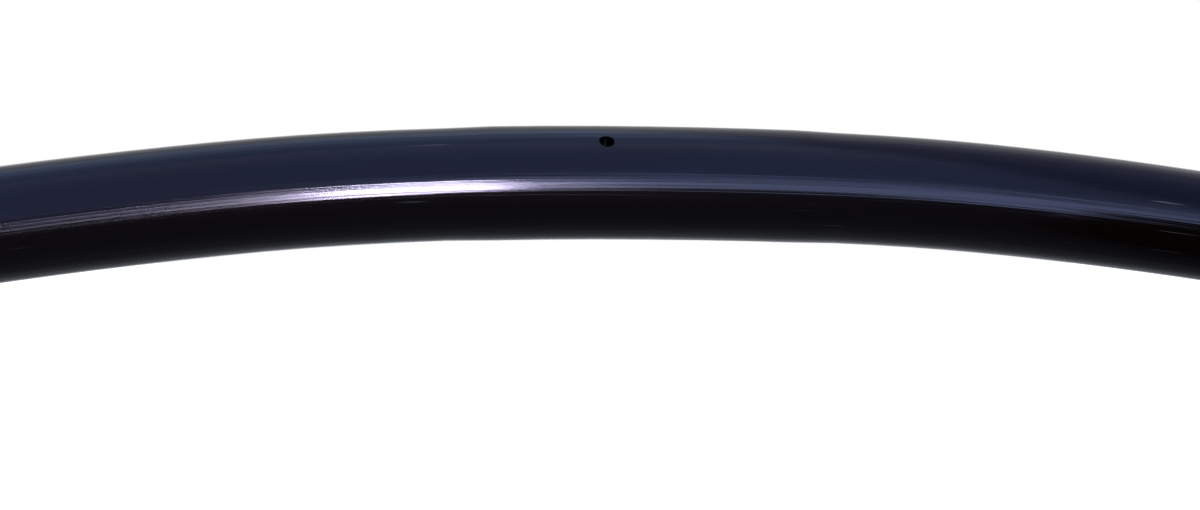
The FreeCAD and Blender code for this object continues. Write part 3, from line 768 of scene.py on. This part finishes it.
def moulded_grain():
    """Fine moulded grain, with blotches and specks of dust, for every plastic and rubber piece."""
    group, given, result = new_group("moulded_grain", {"Scale": 900.0, "Dust": 0.3}, ["Height", "Dust"])
    vector = given.outputs["Vector"]
    grain = noise_node(group, vector, given.outputs["Scale"], 3.0, 0.6)
    blotches = noise_node(group, vector, 140.0, 4.0, 0.62)
    specks = noise_node(group, vector, 2600.0, 1.0, 0.5)
    settled = map_range(group, blotches, 0.48, 0.72)
    loose = map_range(group, specks, 0.62, 0.78)
    both = math_node(group, "MAXIMUM", math_node(group, "MULTIPLY", settled, 0.6), loose)
    dust = math_node(group, "MULTIPLY", both, given.outputs["Dust"], clamp=True)
    group.links.new(grain, result.inputs["Height"])
    group.links.new(dust, result.inputs["Dust"])
    return group


def scuffs():
    """Fine scratches that follow the first axis of the map."""
    group, given, result = new_group("scuffs", {"Amount": 0.5}, ["Mask"])
    vector = given.outputs["Vector"]
    lines = noise_node(group, stretched(group, vector, (55, 2600, 55)), 1.0, 1.0, 0.4)
    patches = noise_node(group, vector, 42.0, 2.0, 0.5)
    sharp = map_range(group, lines, 0.7, 0.78)
    here = map_range(group, patches, 0.5, 0.66)
    mask = math_node(group, "MULTIPLY", sharp, here)
    mask = math_node(group, "MULTIPLY", mask, given.outputs["Amount"], clamp=True)
    group.links.new(mask, result.inputs["Mask"])
    return group


def place_group(tree, group, vector, **numbers):
    node = tree.nodes.new("ShaderNodeGroup")
    node.node_tree = group
    tree.links.new(vector, node.inputs["Vector"])
    for name, value in numbers.items():
        node.inputs[name].default_value = value
    return node.outputs


def bump_node(tree, shader, height, distance):
    """Relief whose height is given in millimetres."""
    node = tree.nodes.new("ShaderNodeBump")
    node.inputs["Distance"].default_value = distance * MM
    node.inputs["Strength"].default_value = 1.0
    tree.links.new(height, node.inputs["Height"])
    tree.links.new(node.outputs["Normal"], shader.inputs["Normal"])


# Painted light on the hose: a warm near-black is painted shade with a painted ground reflection on the
# underside, and a blue-black is a painted sky reflection on the upper side.
UNDERSIDE_PAINTED_SHADE_BLACK = (0.003, 0.0014, 0.001)
PAINTED_SKY_REFLECTION_BLACK = (0.0042, 0.0054, 0.017)
SCRATCH_GREY = (0.16, 0.16, 0.2)


def pipe_material(scuff_group):
    """Black polyethylene: glossy, drawn in fine lines, its colour painted blue-black on the upper side as a
    painted sky reflection and warm black underneath as painted shade with a painted ground reflection.
    """
    material, tree, shader = new_material("black_pipe")
    shader.inputs["Specular IOR Level"].default_value = 0.07
    shader.inputs["Specular Tint"].default_value = (0.5, 0.58, 1.0, 1)
    mapping = tree.nodes.new("ShaderNodeUVMap")
    mapping.uv_map = "along"
    vector = mapping.outputs["UV"]
    parts = tree.nodes.new("ShaderNodeSeparateXYZ")
    tree.links.new(vector, parts.inputs[0])
    turn = math_node(tree, "MULTIPLY", parts.outputs["Y"], 1 / (HOSE_RADIUS * MM))
    below = math_node(tree, "COSINE", turn)
    # Painted light: the colour goes from the underside's painted shade to the upper side's painted sky
    # reflection by the angle round the hose, in random patches.
    painted_sky_side = map_range(tree, below, 0.16, -0.2)
    painted_sky_patches = noise_node(tree, stretched(tree, vector, (30, 160, 1)), 1.0, 3.0, 0.6, "2D")
    painted_sky_reflection = math_node(tree, "MULTIPLY", painted_sky_side, map_range(tree, painted_sky_patches, 0.25, 0.75, 0.75, 1.0))
    colour = mix_colour(tree, painted_sky_reflection, UNDERSIDE_PAINTED_SHADE_BLACK, PAINTED_SKY_REFLECTION_BLACK)
    scratch = place_group(tree, scuff_group, vector, Amount=0.5)["Mask"]
    colour = mix_colour(tree, scratch, colour, SCRATCH_GREY)
    tree.links.new(colour, shader.inputs["Base Color"])
    drawn = noise_node(tree, stretched(tree, vector, (9, 3300, 1)), 1.0, 2.0, 0.65, "2D")
    broad = noise_node(tree, stretched(tree, vector, (14, 620, 1)), 1.0, 1.0, 0.5, "2D")
    roughness = map_range(tree, drawn, 0.3, 0.7, 0.1, 0.15)
    tree.links.new(roughness, shader.inputs["Roughness"])
    height = math_node(tree, "ADD", drawn, math_node(tree, "MULTIPLY", broad, 2.2))
    bump_node(tree, shader, height, 0.02)
    return material


DUST = (0.3, 0.27, 0.23)
PALE_DUST = (0.5, 0.45, 0.36)
STEEL = (0.6, 0.6, 0.58)
DULL_STEEL = (0.3, 0.26, 0.2)


def moulded_material(name, colour, roughness, grain_group, grain, depth, dust, dust_colour=DUST):
    """A moulded piece's plastic or rubber, grained and lightly dusty."""
    material, tree, shader = new_material(name)
    shader.inputs["Specular IOR Level"].default_value = 0.25
    place = tree.nodes.new("ShaderNodeTexCoord").outputs["Object"]
    group = place_group(tree, grain_group, place, Scale=grain, Dust=dust)
    tree.links.new(mix_colour(tree, group["Dust"], colour, dust_colour), shader.inputs["Base Color"])
    dull = map_range(tree, group["Dust"], 0.0, 0.4, roughness, min(roughness + 0.3, 1.0))
    tree.links.new(dull, shader.inputs["Roughness"])
    bump_node(tree, shader, group["Height"], depth)
    return material


def wire_material(grain_group):
    material, tree, shader = new_material("screen_wire")
    shader.inputs["Metallic"].default_value = 1.0
    place = tree.nodes.new("ShaderNodeTexCoord").outputs["Object"]
    group = place_group(tree, grain_group, place, Scale=1800.0, Dust=0.2)
    tree.links.new(mix_colour(tree, group["Dust"], STEEL, DULL_STEEL), shader.inputs["Base Color"])
    tree.links.new(map_range(tree, group["Height"], 0.3, 0.7, 0.25, 0.4), shader.inputs["Roughness"])
    return material


# Stage and light

FLOOR_RADIUS = 25.0
FLOOR_GREY = (0.62, 0.62, 0.62, 1)
# The floor turns white between these distances from its middle, in metres.
SHADOW_ENDS = 0.2
WHITE_STARTS = 0.42
ROOM_LIGHT = 0.45
COOL = (0.88, 0.94, 1.0)
COOLER = (0.84, 0.9, 1.0)
SKY = (0.36, 0.62, 1.0)
WARM = (1.0, 0.78, 0.64)
PALE_WARM = (1.0, 0.84, 0.74)
BEAM_SPREAD = math.radians(60)


def seen_directly(tree):
    """1 for rays that show the background itself, in the picture, in gloss and through glass."""
    path = tree.nodes.new("ShaderNodeLightPath")
    either = math_node(tree, "ADD", path.outputs["Is Camera Ray"], path.outputs["Is Glossy Ray"])
    return math_node(tree, "ADD", either, path.outputs["Is Transmission Ray"], clamp=True)


def add_stage():
    """A pale floor, lit as it is near the hose, where it keeps the shadow, and plain white further off."""
    bpy.ops.mesh.primitive_circle_add(vertices=96, radius=FLOOR_RADIUS, fill_type="NGON")
    floor = bpy.context.object
    floor.name = "floor"
    material, tree, shader = new_material("pale_floor")
    tree.nodes.remove(shader)
    diffuse = tree.nodes.new("ShaderNodeBsdfDiffuse")
    diffuse.inputs["Color"].default_value = FLOOR_GREY
    place = tree.nodes.new("ShaderNodeTexCoord").outputs["Object"]
    near = stretched(tree, place, (0.55, 1, 1))
    length = tree.nodes.new("ShaderNodeVectorMath")
    length.operation = "LENGTH"
    tree.links.new(near, length.inputs[0])
    far = map_range(tree, length.outputs["Value"], SHADOW_ENDS, WHITE_STARTS, 0.04, 1.0)
    glow = tree.nodes.new("ShaderNodeEmission")
    tree.links.new(math_node(tree, "MULTIPLY", far, seen_directly(tree)), glow.inputs["Strength"])
    both = tree.nodes.new("ShaderNodeAddShader")
    tree.links.new(diffuse.outputs[0], both.inputs[0])
    tree.links.new(glow.outputs[0], both.inputs[1])
    tree.links.new(both.outputs[0], tree.nodes["Material Output"].inputs["Surface"])
    floor.data.materials.append(material)


def add_world():
    world = bpy.data.worlds.new("studio")
    bpy.context.scene.world = world
    world.use_nodes = True
    tree = world.node_tree
    background = tree.nodes["Background"]
    background.inputs["Color"].default_value = (1, 1, 1, 1)
    level = map_range(tree, seen_directly(tree), 0, 1, ROOM_LIGHT, 1.0)
    tree.links.new(level, background.inputs["Strength"])


def seen_from_outlet(turn, rise):
    """The way from the outlet at a turn from straight back and at a rise, in degrees."""
    turn, rise = math.radians(turn), math.radians(rise)
    return Vector((math.sin(turn) * math.cos(rise), -math.cos(turn) * math.cos(rise), math.sin(rise)))


def add_lamp(name, turn, rise, distance, width, height, radiance, colour):
    """A soft box that faces the outlet, of a size and brightness, which the camera itself doesn't see."""
    data = bpy.data.lights.new(name, "AREA")
    data.shape = "RECTANGLE"
    data.size = width
    data.size_y = height
    data.energy = math.pi * width * height * radiance
    data.color = colour
    lamp = bpy.data.objects.new(name, data)
    bpy.context.scene.collection.objects.link(lamp)
    outlet = Vector((OUTLET_PLACE, HOSE_LINE, OUTLET_HEIGHT)) * MM
    way = seen_from_outlet(turn, rise)
    lamp.location = outlet + way * distance
    lamp.rotation_euler = (-way).to_track_quat("-Z", "Y").to_euler()
    lamp.visible_camera = False
    return lamp


def add_lights():
    """Three soft boxes over the camera's side, and four level with the hose that show only in gloss."""
    boxes = [
        ("front_box", 28, 2.8, COOL),
        ("high_box", 68, 2.6, COOL),
        ("top_box", 108, 1.9, SKY),
    ]
    for name, rise, radiance, colour in boxes:
        add_lamp(name, 11, rise, 1.5, 0.95, 1.08, radiance, colour)
    strips = [
        ("low_strip", 21, -5.0, 0.4, 0.28, 0.13, 21, COOLER),
        ("mid_strip", 21, 10.0, 0.4, 0.28, 0.08, 7, COOLER),
    ]
    beams = [
        ("glare", 2.1, -7.0, 0.3, 0.02, 0.08, 113, WARM),
        ("glare_halo", 5.4, -5.0, 0.31, 0.045, 0.11, 2.8, PALE_WARM),
    ]
    for settings in strips + beams:
        lamp = add_lamp(*settings)
        lamp.visible_diffuse = False
        if settings in beams:
            lamp.data.spread = BEAM_SPREAD


add_camera()

grain = moulded_grain()
scuffed = scuffs()
pipe = pipe_material(scuffed)
fitting = moulded_material("black_fitting", (0.018, 0.018, 0.02), 0.42, grain, 1100.0, 0.012, 0.16)
rubber = moulded_material("black_rubber", (0.03, 0.03, 0.03), 0.75, grain, 1500.0, 0.02, 0.3)
nylon = moulded_material("black_nylon", (0.022, 0.022, 0.023), 0.36, grain, 700.0, 0.008, 0.12)
cream = moulded_material("cream_acetal", (0.72, 0.68, 0.58), 0.35, grain, 900.0, 0.006, 0.06, PALE_DUST)
grey = moulded_material("grey_emitter", (0.09, 0.09, 0.1), 0.45, grain, 900.0, 0.008, 0.08)
blue = moulded_material("blue_restrictor", (0.03, 0.12, 0.42), 0.4, grain, 900.0, 0.008, 0.05)
wire = wire_material(grain)

hose, hose_path = make_hose(pipe)
make_swivel_nut(fitting)
make_washer(rubber)
make_screen(wire)
make_inlet_tail(fitting)
make_lock_nut("tap_lock_nut", "tap", "inlet_nut", "inlet_lock_nut", fitting)
end_plug = make_end_body(fitting)
end_nut = make_lock_nut("end_nut", "end", "end_nut", "end_lock_nut", fitting)
end_cap = make_flush_cap(fitting)

middle_x = OUTLET_PLACE + HANK_LEFT + HANK_RUN / 2
fold_x = OUTLET_PLACE + HANK_LEFT + HANK_RUN + FOLD_RADIUS - STRAND_PITCH / 2
near_y = HOSE_LINE - 2 * FOLD_RADIUS + STRAND_PITCH / 2
far_y = HOSE_LINE - STRAND_PITCH / 2
tied = [
    make_tie("near_tie", "tie_near", middle_x, near_y, False, nylon),
    make_tie("far_tie", "tie_far", middle_x, far_y, False, nylon),
    make_tie("fold_tie", "tie_fold", fold_x, HOSE_LINE - FOLD_RADIUS, True, nylon),
]

kept_nodes = {
    "flow_restrictor": blue,
    "inlet_grip_ring": cream,
    "end_grip_ring": cream,
    "cap_seal": rubber,
    "emitter_body": grey,
    "emitter_diaphragm": rubber,
    "emitter_cover": grey,
}
for node_name, material in kept_nodes.items():
    nodes[node_name].data.materials.clear()
    nodes[node_name].data.materials.append(material)

add_stage()
add_world()
add_lights()
bpy.context.scene.view_settings.view_transform = "Standard"
